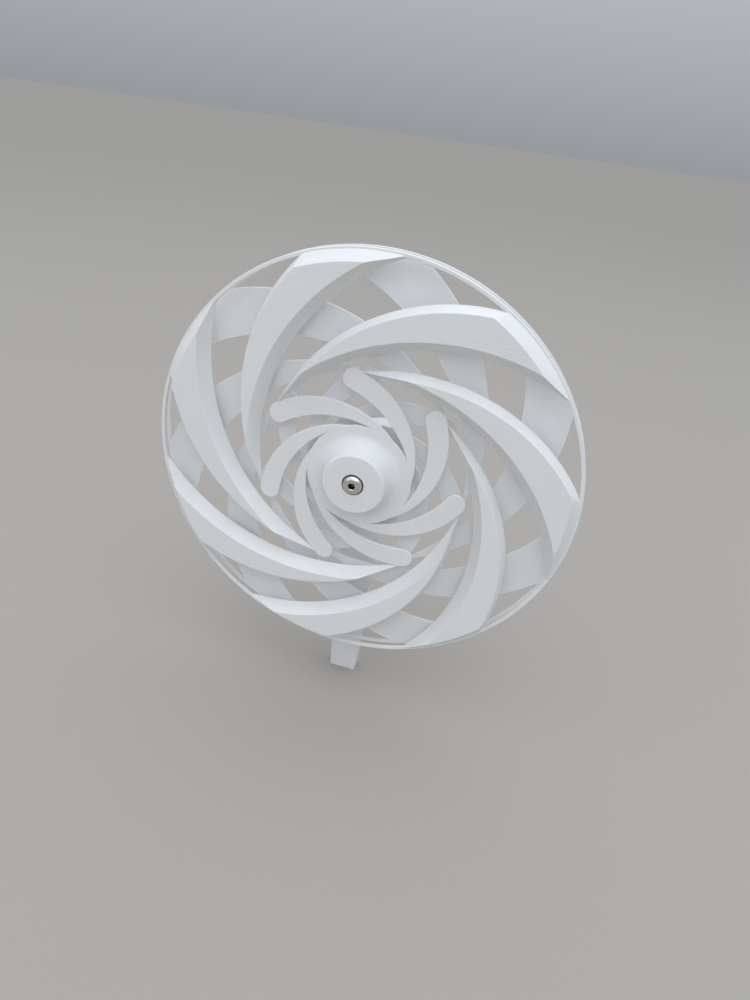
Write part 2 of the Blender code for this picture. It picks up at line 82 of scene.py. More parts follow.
BLADE_COUNT = 7
PITCH = 2 * math.pi / BLADE_COUNT
FRONT_TURN = math.radians(15.1)
REAR_TURN = math.radians(3.2)
RING_WIDTH = 1.85 * MM
RING_HEIGHT = 1.5 * MM
BLADE_END_RADIUS = RING_OUTER_RADIUS - 0.85 * MM
BLADE_HEIGHT = 6.35 * MM
BLADE_EDGE_HEIGHT = 0.4 * MM
BLADE_WALL_HEIGHT = 1.35 * MM
LEADING_BEVEL = 2.2 * MM
TRAILING_BEVEL = 4.6 * MM
RING_BEVEL = 4.6 * MM
ARM_HEIGHT = 1.35 * MM
DISC_RADIUS = 26.1 * MM
BOSS_RADIUS = 15.5 * MM
BOSS_ROUNDING = 1.3 * MM
BOSS_FLARE = 6.5 * MM
# The first angle of the boss's rounded top edge that is drawn, in degrees
BOSS_EDGE_START = 15
HEAD_HOLE_RADIUS = 5.3 * MM
POCKET_DEPTH = 8.0 * MM
HEAD_HOLE_EDGE = 0.25 * MM
POCKET_RADIUS = 8.25 * MM
EDGE_ROUNDING = 0.4 * MM
# The first printed layer, and how far each side leans in there as a share of its height
FIRST_LAYER = 0.15 * MM
FIRST_LAYER_LEAN = 0.8
# The blades and arms start this much higher than the hub, so that no two faces lie in one plane
ARM_LIFT = 0.01 * MM
BLADE_LIFT = 0.02 * MM

# The circles whose arcs outline one blade and one arm: centre, then radius
LEADING_CIRCLE = (Vector((42.1, -18.4)) * MM, 95.2 * MM)
TRAILING_CIRCLE = (Vector((28.2, -44.1)) * MM, 103.0 * MM)
ARM_OUTER_CIRCLE = (Vector((-20.5, -4.5)) * MM, 45.6 * MM)
ARM_INNER_CIRCLE = (Vector((-16.5, -17.0)) * MM, 48.8 * MM)
# Where an arm's tip lies, as a direction from the centre of its inner circle
ARM_TIP_ANGLE = math.radians(109.5)
WHEEL_CENTRE = Vector((0, 0))

# How finely round shapes are divided
ARC_STEPS = 36
SHORT_ARC_STEPS = 12
ROUND_STEPS = 144
SMALL_ROUND_STEPS = 96
EDGE_STEPS = 4
BOSS_EDGE_STEPS = 5
FLARE_STEPS = 14
SMALL_EDGE_STEPS = 6
LARGE_EDGE_STEPS = 12
NUT_EDGE_STEPS = 10
SCREW_HEAD_STEPS = 24
BALL_POCKET_STEPS = 48
BALL_SUBDIVISIONS = 3
# Angles over a rounded edge at which it gets a level of points, in degrees
ROUNDING_ANGLES = (30, 45, 60, 75, 90)

CREASE_ANGLE = math.radians(30)
MERGE_DISTANCE = 1e-7
# How far a cutting or trimming tool reaches past the face that it opens
CUT_PAST = 0.01 * MM

# ---------------------------------------------------------------- dimensions of the axle and stake

SCREW_HEAD_RADIUS = (SCREW_HIGH.x - SCREW_LOW.x) / 2
SCREW_HEAD_HEIGHT = 2.75 * MM
SCREW_HEAD_RIM = 0.35 * MM
SCREW_HEAD_FLAT_RADIUS = 2.1 * MM
SOCKET_ACROSS_FLATS = 3.0 * MM
SOCKET_DEPTH = 1.7 * MM
SOCKET_RIM = 0.2 * MM
NECK_LENGTH = 1.5 * MM
THREAD_START = 1.0 * MM
THREAD_PITCH = 0.8 * MM
THREAD_CREST = 2.46 * MM
THREAD_ROOT = 2.1 * MM
# Half the width of the thread's flat crest, as a share of its pitch
THREAD_HALF_CREST = 0.25
THREAD_ROWS_PER_TURN = 8
THREAD_STEPS = 48
THREAD_MERGE_DISTANCE = 1e-6
NUT_ACROSS_FLATS = 8.0 * MM
NUT_METAL_HEIGHT = 3.6 * MM
NUT_BORE_RADIUS = 2.6 * MM
NUT_CORNER_SPARE = 0.05 * MM
NUT_FLAT_TRIM = 0.02 * MM
NUT_CORNER_ANGLE = math.radians(30)
NUT_CROWN_RADIUS = 3.85 * MM
NUT_CROWN_ROUNDING = 0.7 * MM
NUT_COUNTERSINK = 0.5 * MM
NUT_COUNTERSINK_START = -0.1 * MM
NUT_COUNTERSINK_END = 0.4 * MM
NUT_RECESS_RADIUS = 3.3 * MM
COLLAR_RADIUS = 3.18 * MM
COLLAR_BORE_RADIUS = 2.55 * MM
SMALL_CHAMFER = 0.2 * MM

BEARING_RADIUS = (BEARING_HIGH.x - BEARING_LOW.x) / 2
BEARING_BORE_RADIUS = 2.6 * MM
BEARING_HALF_WIDTH = (BEARING_HIGH.y - BEARING_LOW.y) / 2
BALL_COUNT = 7
BALL_RADIUS = (BALL_HIGH.z - BALL_LOW.z) / 2
BALL_CIRCLE_RADIUS = 5.25 * MM
BALL_CLEARANCE = 0.25 * MM
GROOVE_GAP = 0.1 * MM
OUTER_SHOULDER_RADIUS = 6.3 * MM
INNER_SHOULDER_RADIUS = 4.1 * MM
INNER_SEAT_RADIUS = 3.95 * MM
SHIELD_INNER_RADIUS = 4.35 * MM
SHIELD_OUTER_RADIUS = 6.65 * MM
SHIELD_SEAT_RADIUS = 6.9 * MM
SHIELD_SEAT_DEPTH = 0.7 * MM
SHIELD_THICKNESS = 0.3 * MM
CAGE_INNER_RADIUS = 4.75 * MM
CAGE_OUTER_RADIUS = 5.75 * MM
CAGE_SIDE = 1.9 * MM
CAGE_OPEN_SIDE = -0.2 * MM
CAGE_CHAMFER = 0.1 * MM

STAKE_FRONT = STAKE_LOW.y
STAKE_BACK = -STAKE_LOW.y
STAKE_TOP_HALF_WIDTH = 12.2 * MM
STAKE_GROUND_HALF_WIDTH = 8.0 * MM
SPIKE_START = 5.0 * MM
SPIKE_TIP_HALF_WIDTH = 1.2 * MM
STAKE_ROUNDING = 1.6 * MM
STAKE_ROUNDING_SEGMENTS = 8
STAKE_CORNER_ANGLE = math.radians(40)
STAKE_HEAD_EDGE = 0.8 * MM
STAKE_HEAD_ROUNDING = 2.4 * MM
STAKE_BORE_RADIUS = 2.6 * MM
NUT_POCKET_ACROSS_FLATS = 8.5 * MM
NUT_POCKET_GAP = 0.25 * MM
NUT_POCKET_START = NUT_LOW.y - NUT_POCKET_GAP

# ---------------------------------------------------------------- looks

LAYER_SPACING = 0.2 * MM
RASTER_SPACING = 0.55 * MM
# Raster lines run along the X axis that the front wheel was drawn on, and repeat across it
RASTER_DIRECTION = (-math.sin(FRONT_TURN), math.cos(FRONT_TURN), 0)
# The share of a normal along the wheel's axis where raster lines start to take over from layer
# lines, and where they have taken over
RASTER_FROM, RASTER_TO = 0.93, 0.99
# Noise scales are in repeats per metre; each bump has a depth and a strength
GROOVE_DEPTH, GROOVE_STRENGTH = 0.06 * MM, 0.8
GRAIN_SCALE = 2600
GRAIN_DEPTH, GRAIN_STRENGTH = 0.02 * MM, 0.35
PLASTIC_CLOUD_SCALE = 45
PLASTIC_SPECULAR = 0.45
PLASTIC_COLOURS = ((0.865, 0.866, 0.862), (0.9, 0.9, 0.895))
PLASTIC_ROUGHNESS = (0.36, 0.52)
SMEAR_SCALE = 900
FINE_DETAIL = 4.0
RING_DEPTH, RING_STRENGTH = 0.004 * MM, 0.3
STAINLESS_COLOURS = ((0.64, 0.63, 0.60), (0.74, 0.73, 0.70))
STAINLESS_ROUGHNESS = (0.06, 0.12)
STAINLESS_RINGS = 0.1 * MM
BEARING_COLOURS = ((0.5, 0.5, 0.51), (0.6, 0.6, 0.6))
BEARING_ROUGHNESS = (0.2, 0.34)
BEARING_RINGS = 0.12 * MM
NYLON_CLOUD_SCALE = 700
NYLON_DEPTH, NYLON_STRENGTH = 0.02 * MM, 0.3
NYLON_COLOURS = ((0.68, 0.70, 0.74), (0.76, 0.78, 0.81))
NYLON_ROUGHNESS = (0.35, 0.5)
# Painted shade: the near-black colour painted into the screw's driver hole, and how softly it fades at its edges
SOCKET_PAINTED_SHADE_COLOUR = (0.07, 0.065, 0.06)
SOCKET_SHADE_SOFTNESS = 0.05 * MM
# A noise texture's values lie mostly between these two
NOISE_LOW, NOISE_HIGH = 0.3, 0.7

# ---------------------------------------------------------------- studio

SKY_COLOUR = (0.88, 0.93, 1.0)
SKY_POWER = 20
SKY_PLACE = (0.35, -0.55, 2.0)
SKY_SIZE = 2.4
FILL_POWER = 3
FILL_PLACE = (-1.7, -1.2, 1.0)
FILL_SIZE = 1.6
HORIZON_STRENGTH = 0.35
ZENITH_STRENGTH = 1.27
FLOOR_COLOUR = (0.37, 0.342, 0.308)
FLOOR_DARKER = 0.97
FLOOR_CLOUD_SCALE = 3.0
FLOOR_ROUGHNESS = 0.9
FLOOR_RADIUS = 60.0

# The camera's place and axes are given along three directions: across, up and out of the front
# wheel's face, where across and up are turned by CAMERA_LEAN from level and upright. Its place
# is counted in CAMERA_REACH from a centre on the axle, itself a little before the wheel's face.
CAMERA_LEAN = math.radians(15)
CAMERA_REACH = 102.5 * MM
CAMERA_CENTRE_SHIFT = -0.0198
CAMERA_PLACE = (0.955, 1.221, 2.650)
CAMERA_RIGHT = (0.9582, -0.1291, -0.2552)
CAMERA_DOWN = (0, -0.8924, 0.4513)
SENSOR_WIDTH_MM = 36.0
LENS_MM = 31.512

# ---------------------------------------------------------------- flat outlines


def polar(radius, angle):
    return Vector((radius * math.cos(angle), radius * math.sin(angle)))


def circle_crossing(circle_a, circle_b):
    """The point where two circles cross, on the right of the line from centre a to b."""
    (centre_a, radius_a), (centre_b, radius_b) = circle_a, circle_b
    between = centre_b - centre_a
    distance = between.length
    along = (radius_a**2 - radius_b**2 + distance**2) / (2 * distance)
    aside = math.sqrt(radius_a**2 - along**2)
    direction = between / distance
    right = Vector((direction.y, -direction.x))
    return centre_a + along * direction + aside * right


def arc(centre, start, end, steps, turn):
    """Points from start up to, not including, end round a centre; turn is +1 anticlockwise."""
    radius = (start - centre).length
    first = math.atan2(*(start - centre).yx)
    sweep = math.atan2(*(end - centre).yx) - first
    sweep = sweep % (2 * math.pi) if turn > 0 else -(-sweep % (2 * math.pi))
    return [centre + polar(radius, first + sweep * step / steps) for step in range(steps)]


def turned_outline(outline, angle):
    turn = Matrix.Rotation(angle, 2)
    return [turn @ point for point in outline]


def blade_outline(leading_inset, trailing_inset, ring_inset):
    """A crescent between two arcs that meet in a point, cut off by the ring."""
    leading_centre, leading_radius = LEADING_CIRCLE
    trailing_centre, trailing_radius = TRAILING_CIRCLE
    leading = (leading_centre, leading_radius - leading_inset)
    trailing = (trailing_centre, trailing_radius + trailing_inset)
    rim = (WHEEL_CENTRE, BLADE_END_RADIUS - ring_inset)
    point = circle_crossing(leading, trailing)
    leading_corner = circle_crossing(leading, rim)
    trailing_corner = circle_crossing(trailing, rim)
    return (
        arc(leading_centre, point, leading_corner, ARC_STEPS, -1)
        + arc(WHEEL_CENTRE, leading_corner, trailing_corner, SHORT_ARC_STEPS, -1)
        + arc(trailing_centre, trailing_corner, point, ARC_STEPS, +1)
    )


def arm_tip():
    """Centre and radius of the circle at an arm's tip, which touches both of the arm's arcs."""
    outer_centre, outer_radius = ARM_OUTER_CIRCLE
    inner_centre, inner_radius = ARM_INNER_CIRCLE
    towards_tip = polar(1, ARM_TIP_ANGLE)
    between = inner_centre - outer_centre
    radii = outer_radius + inner_radius
    reach = (radii**2 - between.length_squared) / (2 * (radii + towards_tip.dot(between)))
    return inner_centre + reach * towards_tip, reach - inner_radius


def arm_outline(inset):
    """A thin curved arm: round at its tip, running tangentially into the hub's disc."""
    outer_centre, outer_radius = ARM_OUTER_CIRCLE
    inner_centre, inner_radius = ARM_INNER_CIRCLE
    tip, full_radius = arm_tip()
    tip_radius = full_radius - inset
    outer_tip = tip + tip_radius * (tip - outer_centre).normalized()
    inner_tip = tip - tip_radius * (tip - inner_centre).normalized()
    outer_root = outer_centre - (outer_radius - inset) * outer_centre.normalized()
    inner_root = inner_centre - (inner_radius + inset) * inner_centre.normalized()
    return (
        arc(outer_centre, outer_tip, outer_root, ARC_STEPS, -1)
        + [outer_root]
        + arc(inner_centre, inner_root, inner_tip, ARC_STEPS, +1)
        + arc(tip, inner_tip, outer_tip, SHORT_ARC_STEPS, -1)
    )


def hexagon(across_flats):
    corner_radius = across_flats / math.sqrt(3)
    return [polar(corner_radius, math.radians(60 * corner)) for corner in range(6)]


# ---------------------------------------------------------------- profiles


def leaning_inset(height, wall, top, bevel, rounding):
    """How far in a side is at a height: upright to wall, leaning in to top, rounded over there."""
    if height <= FIRST_LAYER:
        return (FIRST_LAYER - height) * FIRST_LAYER_LEAN
    if height <= wall:
        return 0.0
    lean = math.atan2(top - wall, bevel)
    tangent = rounding * math.tan(lean / 2)
    if height <= top - tangent * math.sin(lean):
        return bevel * (height - wall) / (top - wall)
    over = height - (top - rounding)
    return bevel + tangent - math.sqrt(max(rounding**2 - over**2, 0.0))


def rounding_heights(top, rounding):
    """Heights of the levels that draw a rounded edge, closer together towards the top."""
    return [top - rounding * (1 - math.sin(math.radians(a))) for a in ROUNDING_ANGLES]


def quarter(centre_radius, centre_height, reach, rise, first, last, steps):
    """Profile points on an ellipse's arc, with angles in degrees from the outward radius."""
    points = []
    for step in range(steps + 1):
        angle = math.radians(first + (last - first) * step / steps)
        radius = centre_radius + reach * math.cos(angle)
        points.append((radius, centre_height + rise * math.sin(angle)))
    return points


# ---------------------------------------------------------------- mesh building


def loft(work, levels):
    """Adds a closed solid through (outline, height) levels of equal point counts."""
    rings = [
        [work.verts.new((point.x, point.y, height)) for point in outline]
        for outline, height in levels
    ]
    count = len(rings[0])
    for lower, upper in zip(rings, rings[1:]):
        for index in range(count):
            following = (index + 1) % count
            work.faces.new((lower[index], lower[following], upper[following], upper[index]))
    work.faces.new(rings[0])
    work.faces.new(rings[-1])


def turned_ring(work, profile, steps=ROUND_STEPS):
    """Adds a ring turned about Z from a closed profile of (radius, height) points."""
    rings = []
    for step in range(steps):
        turn = Matrix.Rotation(2 * math.pi * step / steps, 3, "Z")
        rings.append([work.verts.new(turn @ Vector((r, 0, z))) for r, z in profile])
    count = len(profile)
    for step in range(steps):
        here, there = rings[step], rings[(step + 1) % steps]
        for index in range(count):
            following = (index + 1) % count
            work.faces.new((here[index], there[index], there[following], here[following]))


def turned_solid(work, profile, steps=ROUND_STEPS):
    """Adds a solid turned about Z; its profile starts and ends in flat round faces."""
    angles = [2 * math.pi * step / steps for step in range(steps)]
    loft(work, [([polar(radius, a) for a in angles], height) for radius, height in profile])


def finish_mesh(name, work):
    bmesh.ops.remove_doubles(work, verts=work.verts, dist=MERGE_DISTANCE)
    bmesh.ops.recalc_face_normals(work, faces=work.faces)
    mesh = bpy.data.meshes.new(name)
    work.to_mesh(mesh)
    work.free()
    return mesh


def scratch_object(name, mesh):
    piece = bpy.data.objects.new(name, mesh)
    bpy.context.collection.objects.link(piece)
    return piece


def solid(name, build, *arguments):
    """An unshaded object from a function that fills a bmesh."""
    work = bmesh.new()
    build(work, *arguments)
    return scratch_object(name, finish_mesh(name, work))


def evaluated_mesh(piece, name):
    bpy.context.view_layer.update()
    evaluated = piece.evaluated_get(bpy.context.evaluated_depsgraph_get())
    work = bmesh.new()
    work.from_mesh(evaluated.to_mesh())
    return finish_mesh(name, work)


def combine(base, tools, operation):
    """Base with each tool joined to it or cut from it; the tools are removed."""
    for tool in tools:
        boolean = base.modifiers.new(tool.name, "BOOLEAN")
        boolean.operation = operation
        boolean.solver = "MANIFOLD"
        boolean.object = tool
    combined = scratch_object(base.name, evaluated_mesh(base, base.name))
    for used in [base, *tools]:
        bpy.data.objects.remove(used)
    return combined


def take_mesh(piece):
    mesh = piece.data
    bpy.data.objects.remove(piece)
    return mesh


def axle_place(along, half_turn=0):
    """The place on the axle where local Z points to the front, or to the back after a half turn."""
    facing = Matrix.Rotation(half_turn, 4, "Z") @ Matrix.Rotation(math.pi / 2, 4, "X")
    return Matrix.Translation((0, along, AXLE_HEIGHT)) @ facing


def add_piece(name, mesh, place, material, body, node):
    """A finished piece: shaded, placed, painted, riding on its body and standing for its node."""
    mesh.materials.clear()
    mesh.materials.append(material)
    mesh.shade_smooth()
    mesh.set_sharp_from_angle(angle=CREASE_ANGLE)
    piece = scratch_object(name, mesh)
    piece.matrix_world = place
    weighted = piece.modifiers.new("weighted_normals", "WEIGHTED_NORMAL")
    weighted.keep_sharp = True
    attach(piece, body)
    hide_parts(node)
    return piece


# ---------------------------------------------------------------- wheels


def fill_ring_and_hub(work):
    """The rim, and the hub's disc with its flared boss, bearing pocket and screw hole."""
    edge = EDGE_ROUNDING
    inner = RING_OUTER_RADIUS - RING_WIDTH
    rim = [
        (inner, FIRST_LAYER),
        (inner + FIRST_LAYER, 0),
        (RING_OUTER_RADIUS - FIRST_LAYER, 0),
        (RING_OUTER_RADIUS, FIRST_LAYER),
        *quarter(RING_OUTER_RADIUS - edge, RING_HEIGHT - edge, edge, edge, 0, 90, EDGE_STEPS),
        *quarter(inner + edge, RING_HEIGHT - edge, edge, edge, 90, 180, EDGE_STEPS),
    ]
    turned_ring(work, rim, 2 * ROUND_STEPS)
    wall_top = BOSS_HEIGHT - BOSS_ROUNDING
    flare_radius = BOSS_RADIUS + BOSS_FLARE
    flare_rise = wall_top - ARM_HEIGHT
    top_edge = (BOSS_RADIUS - BOSS_ROUNDING, wall_top, BOSS_ROUNDING, BOSS_ROUNDING)
    hub = [
        (POCKET_RADIUS + FIRST_LAYER, 0),
        (DISC_RADIUS - FIRST_LAYER, 0),
        (DISC_RADIUS, FIRST_LAYER),
        *quarter(DISC_RADIUS - edge, ARM_HEIGHT - edge, edge, edge, 0, 90, EDGE_STEPS),
        *quarter(flare_radius, wall_top, BOSS_FLARE, flare_rise, 270, 180, FLARE_STEPS),
        *quarter(*top_edge, BOSS_EDGE_START, 90, BOSS_EDGE_STEPS),
        (HEAD_HOLE_RADIUS + HEAD_HOLE_EDGE, BOSS_HEIGHT),
        (HEAD_HOLE_RADIUS, BOSS_HEIGHT - HEAD_HOLE_EDGE),
        (HEAD_HOLE_RADIUS, POCKET_DEPTH),
        (POCKET_RADIUS, POCKET_DEPTH),
        (POCKET_RADIUS, FIRST_LAYER),
    ]
    turned_ring(work, hub)


def blade_levels():
    """Outlines of one blade, level by level: steep at the front edge, wide at the back edge."""
    heights = [0, FIRST_LAYER, BLADE_EDGE_HEIGHT, BLADE_WALL_HEIGHT]
    heights += rounding_heights(BLADE_HEIGHT, EDGE_ROUNDING)
    levels = []
    for height in heights:
        sides = [
            (BLADE_WALL_HEIGHT, LEADING_BEVEL),
            (BLADE_EDGE_HEIGHT, TRAILING_BEVEL),
            (BLADE_WALL_HEIGHT, RING_BEVEL),
        ]
        insets = [
            leaning_inset(height, wall, BLADE_HEIGHT, bevel, EDGE_ROUNDING) for wall, bevel in sides
        ]
        levels.append((blade_outline(*insets), height))
    return levels


def arm_levels():
    """Outlines of one arm, level by level, up to its rounded top edge."""
    levels = [(arm_outline(FIRST_LAYER), 0), (arm_outline(0), FIRST_LAYER)]
    for height in rounding_heights(ARM_HEIGHT, EDGE_ROUNDING):
        over = height - (ARM_HEIGHT - EDGE_ROUNDING)
        inset = EDGE_ROUNDING - math.sqrt(max(EDGE_ROUNDING**2 - over**2, 0.0))
        levels.append((arm_outline(inset), height))
    return levels


def fill_copies(work, levels, lift):
    """Adds one solid for each blade of the wheel, turned by one pitch after the other."""
    for number in range(BLADE_COUNT):
        angle = number * PITCH
        loft(work, [(turned_outline(line, angle), height + lift) for line, height in levels])


def wheel_mesh():
    base = solid("wheel", fill_ring_and_hub)
    blades = solid("blades", fill_copies, blade_levels(), BLADE_LIFT)
    arms = solid("arms", fill_copies, arm_levels(), ARM_LIFT)
    return take_mesh(combine(base, [blades, arms], "UNION"))


def add_wheels(plastic):
    mesh = wheel_mesh()
    sides = (("front", FRONT_FACE, 0, FRONT_TURN), ("rear", REAR_FACE, math.pi, REAR_TURN))
    for side, face, half_turn, turn in sides:
        turned = mesh.copy()
        turned.transform(Matrix.Rotation(turn, 4, "Z"))
        place = axle_place(face.y, half_turn)
        body = f"{side}_rotor"
        add_piece(f"{side}_wheel", turned, place, plastic, body, body)


# ---------------------------------------------------------------- ball bearings


def chamfered_ring(work, inner, outer, start, end, chamfer=SMALL_CHAMFER):
    """Adds a plain sleeve whose four edges are broken by small chamfers."""
    profile = [
        (inner, start + chamfer),
        (inner + chamfer, start),
        (outer - chamfer, start),
        (outer, start + chamfer),
        (outer, end - chamfer),
        (outer - chamfer, end),
        (inner + chamfer, end),
        (inner, end - chamfer),
    ]
    turned_ring(work, profile, SMALL_ROUND_STEPS)


def fill_race(work, face_radius, seat_radius, shoulder_radius):
    """A race: chamfered face, a step for each shield and a round groove for the balls."""
    half = BEARING_HALF_WIDTH
    seat = half - SHIELD_SEAT_DEPTH
    chamfer = math.copysign(SMALL_CHAMFER, seat_radius - face_radius)
    groove = BALL_RADIUS + GROOVE_GAP
    first = math.degrees(math.acos((shoulder_radius - BALL_CIRCLE_RADIUS) / groove))
    last = -first if first < 90 else 360 - first
    profile = [
        (face_radius, -half + SMALL_CHAMFER),
        (face_radius, half - SMALL_CHAMFER),
        (face_radius + chamfer, half),
        (seat_radius, half),
        (seat_radius, seat),
        (shoulder_radius, seat),
        *quarter(BALL_CIRCLE_RADIUS, 0, groove, groove, first, last, LARGE_EDGE_STEPS),
        (shoulder_radius, -seat),
        (seat_radius, -seat),
        (seat_radius, -half),
        (face_radius + chamfer, -half),
    ]
    turned_ring(work, profile, SMALL_ROUND_STEPS)


def fill_shield(work):
    """A thin pressed washer with rounded rims."""
    half = SHIELD_THICKNESS / 2
    profile = quarter(SHIELD_OUTER_RADIUS - half, 0, half, half, -90, 90, SMALL_EDGE_STEPS)
    profile += quarter(SHIELD_INNER_RADIUS + half, 0, half, half, 90, 270, SMALL_EDGE_STEPS)
    turned_ring(work, profile, SMALL_ROUND_STEPS)


def fill_ball(work):
    bmesh.ops.create_icosphere(work, subdivisions=BALL_SUBDIVISIONS, radius=BALL_RADIUS)


def fill_ball_pockets(work):
    """Seven short round bars that point outwards, to cut the cage."""
    angles = [2 * math.pi * step / BALL_POCKET_STEPS for step in range(BALL_POCKET_STEPS)]
    circle = [polar(BALL_RADIUS + BALL_CLEARANCE, angle) for angle in angles]
    for number in range(BALL_COUNT):
        facing = Matrix.Rotation(number * 2 * math.pi / BALL_COUNT, 3, "Z")
        facing = facing @ Matrix.Rotation(math.pi / 2, 3, "Y")
        before = set(work.verts)
        loft(work, [(circle, CAGE_INNER_RADIUS / 2), (circle, BEARING_RADIUS)])
        added = [vert for vert in work.verts if vert not in before]
        bmesh.ops.transform(work, matrix=facing.to_4x4(), verts=added)


def cage_mesh():
    """A crown cage: a ring with a round pocket for each ball, open on one side."""
    extents = (CAGE_INNER_RADIUS, CAGE_OUTER_RADIUS, CAGE_OPEN_SIDE, CAGE_SIDE, CAGE_CHAMFER)
    ring = solid("cage", chamfered_ring, *extents)
    return take_mesh(combine(ring, [solid("pockets", fill_ball_pockets)], "DIFFERENCE"))


def add_bearing(side, meshes, steel, middle, half_turn):
    """One bearing: its races, cage, balls and covers, each riding with what it is fixed to."""
    place = axle_place(middle, half_turn)
    shield_offset = BEARING_HALF_WIDTH - SHIELD_SEAT_DEPTH / 2
    rows = [
        ("outer_ring", "outer_race", meshes["outer"], 0, f"{side}_rotor"),
        ("inner_ring", "inner_race", meshes["inner"], 0, "root"),
        ("ball_cage", "cage", meshes["cage"], 0, f"{side}_balls"),
        ("boss_side_cover", "shield_boss_side", meshes["shield"], shield_offset, f"{side}_rotor"),
        ("flat_side_cover", "shield_flat_side", meshes["shield"], -shield_offset, f"{side}_rotor"),
    ]
    for name, node_end, mesh, offset, body in rows:
        moved = place @ Matrix.Translation((0, 0, offset))
        node_name = f"{side}_bearing_{node_end}"
        add_piece(f"{side}_{name}", mesh.copy(), moved, steel, body, node_name)
    for number in range(BALL_COUNT):
        at = polar(BALL_CIRCLE_RADIUS, number * 2 * math.pi / BALL_COUNT).to_3d()
        moved = place @ Matrix.Translation(at)
        name, node_name = f"{side}_ball_{number + 1}", f"{side}_bearing_ball_{number + 1}"
        body = f"{side}_balls"
        add_piece(name, meshes["ball"].copy(), moved, steel, body, node_name)


def add_bearings(steel):
    outer = (BEARING_RADIUS, SHIELD_SEAT_RADIUS, OUTER_SHOULDER_RADIUS)
    inner = (BEARING_BORE_RADIUS, INNER_SEAT_RADIUS, INNER_SHOULDER_RADIUS)
    meshes = {
        "outer": take_mesh(solid("outer", fill_race, *outer)),
        "inner": take_mesh(solid("inner", fill_race, *inner)),
        "shield": take_mesh(solid("shield", fill_shield)),
        "cage": cage_mesh(),
        "ball": take_mesh(solid("ball", fill_ball)),
    }
    for side, half_turn in (("front", 0), ("rear", math.pi)):
        low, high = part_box(f"{side}_bearing_outer_race")
        add_bearing(side, meshes, steel, (low.y + high.y) / 2, half_turn)


# ---------------------------------------------------------------- axle


def fill_thread(work, start, end):
    """A solid screw thread from start up to end on Z, fading to its root at both ends."""
    rows_per_turn, steps = THREAD_ROWS_PER_TURN, THREAD_STEPS
    row_count = rows_per_turn * math.ceil((end - start) / THREAD_PITCH + 1)
    rings = []
    for row in range(-rows_per_turn, row_count + 1):
        share = row % rows_per_turn / rows_per_turn
        height = max(0.0, min(1.0, (0.5 - abs(share - 0.5)) / (0.5 - THREAD_HALF_CREST)))
        ring = []
        for step in range(steps + 1):
            along = start + THREAD_PITCH * (row / rows_per_turn + step / steps)
            along = min(max(along, start), end)
            fade = min(1.0, (along - start) / THREAD_PITCH, (end - along) / THREAD_PITCH)
            radius = THREAD_ROOT + (THREAD_CREST - THREAD_ROOT) * height * fade
            at = polar(radius, 2 * math.pi * step / steps)
            ring.append(work.verts.new((at.x, at.y, along)))
        rings.append(ring)
    for lower, upper in zip(rings, rings[1:]):
        for step in range(steps):
            corners = (lower[step], lower[step + 1], upper[step + 1], upper[step])
            work.faces.new(corners)
    work.faces.new(rings[0][:-1])
    work.faces.new(rings[-1][:-1])
    bmesh.ops.remove_doubles(work, verts=work.verts, dist=THREAD_MERGE_DISTANCE)
    bmesh.ops.dissolve_degenerate(work, edges=work.edges, dist=MERGE_DISTANCE)


def fill_screw_head(work):
    """A button head with its underside at z = 0, on a short plain neck."""
    reach = SCREW_HEAD_RADIUS - SCREW_HEAD_FLAT_RADIUS
    rise = SCREW_HEAD_HEIGHT - SCREW_HEAD_RIM
    profile = [
        (THREAD_ROOT, -NECK_LENGTH),
        (THREAD_ROOT, 0),
        (SCREW_HEAD_RADIUS - SMALL_CHAMFER / 2, 0),
        (SCREW_HEAD_RADIUS, SMALL_CHAMFER / 2),
        *quarter(SCREW_HEAD_FLAT_RADIUS, SCREW_HEAD_RIM, reach, rise, 0, 90, SCREW_HEAD_STEPS),
    ]
    turned_solid(work, profile, SMALL_ROUND_STEPS)


def fill_socket(work):
    """The hexagonal driver hole, a little wider at its mouth."""
    outline = hexagon(SOCKET_ACROSS_FLATS)
    mouth = hexagon(SOCKET_ACROSS_FLATS + 2 * SOCKET_RIM)
    top = SCREW_HEAD_HEIGHT
    levels = [
        (outline, top - SOCKET_DEPTH),
        (outline, top - SOCKET_RIM),
        (mouth, top + CUT_PAST),
    ]
    loft(work, levels)


def add_screw(steel):
    length = SCREW_HIGH.y - SCREW_LOW.y - SCREW_HEAD_HEIGHT
    thread = solid("thread", fill_thread, -length, -THREAD_START)
    head = combine(solid("screw", fill_screw_head), [thread], "UNION")
    mesh = take_mesh(combine(head, [solid("socket", fill_socket)], "DIFFERENCE"))
    place = axle_place(SCREW_LOW.y + SCREW_HEAD_HEIGHT)
    add_piece("socket_screw", mesh, place, steel, "root", "axle_screw")


def add_spacers(steel):
    for side in ("front", "middle", "rear"):
        low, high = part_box(f"{side}_spacer")
        half = (high.y - low.y) / 2
        radius = (high.x - low.x) / 2
        sleeve = solid("sleeve", chamfered_ring, BEARING_BORE_RADIUS, radius, -half, half)
        mesh = take_mesh(sleeve)
        place = axle_place((low.y + high.y) / 2)
        add_piece(f"{side}_sleeve", mesh, place, steel, "root", f"{side}_spacer")


def fill_nut_hexagon(work):
    outline = hexagon(NUT_ACROSS_FLATS)
    loft(work, [(outline, 0), (outline, NUT_METAL_HEIGHT)])


def fill_nut_envelope(work):
    """The turned shape that trims the hexagon's corners at both ends."""
    corner = NUT_ACROSS_FLATS / math.sqrt(3) + NUT_CORNER_SPARE
    small = NUT_ACROSS_FLATS / 2 - NUT_FLAT_TRIM
    rise = (corner - small) * math.tan(NUT_CORNER_ANGLE)
    top = NUT_METAL_HEIGHT
    profile = [(small, -CUT_PAST), (corner, rise), (corner, top - rise), (small, top + CUT_PAST)]
    turned_solid(work, profile, SMALL_ROUND_STEPS)


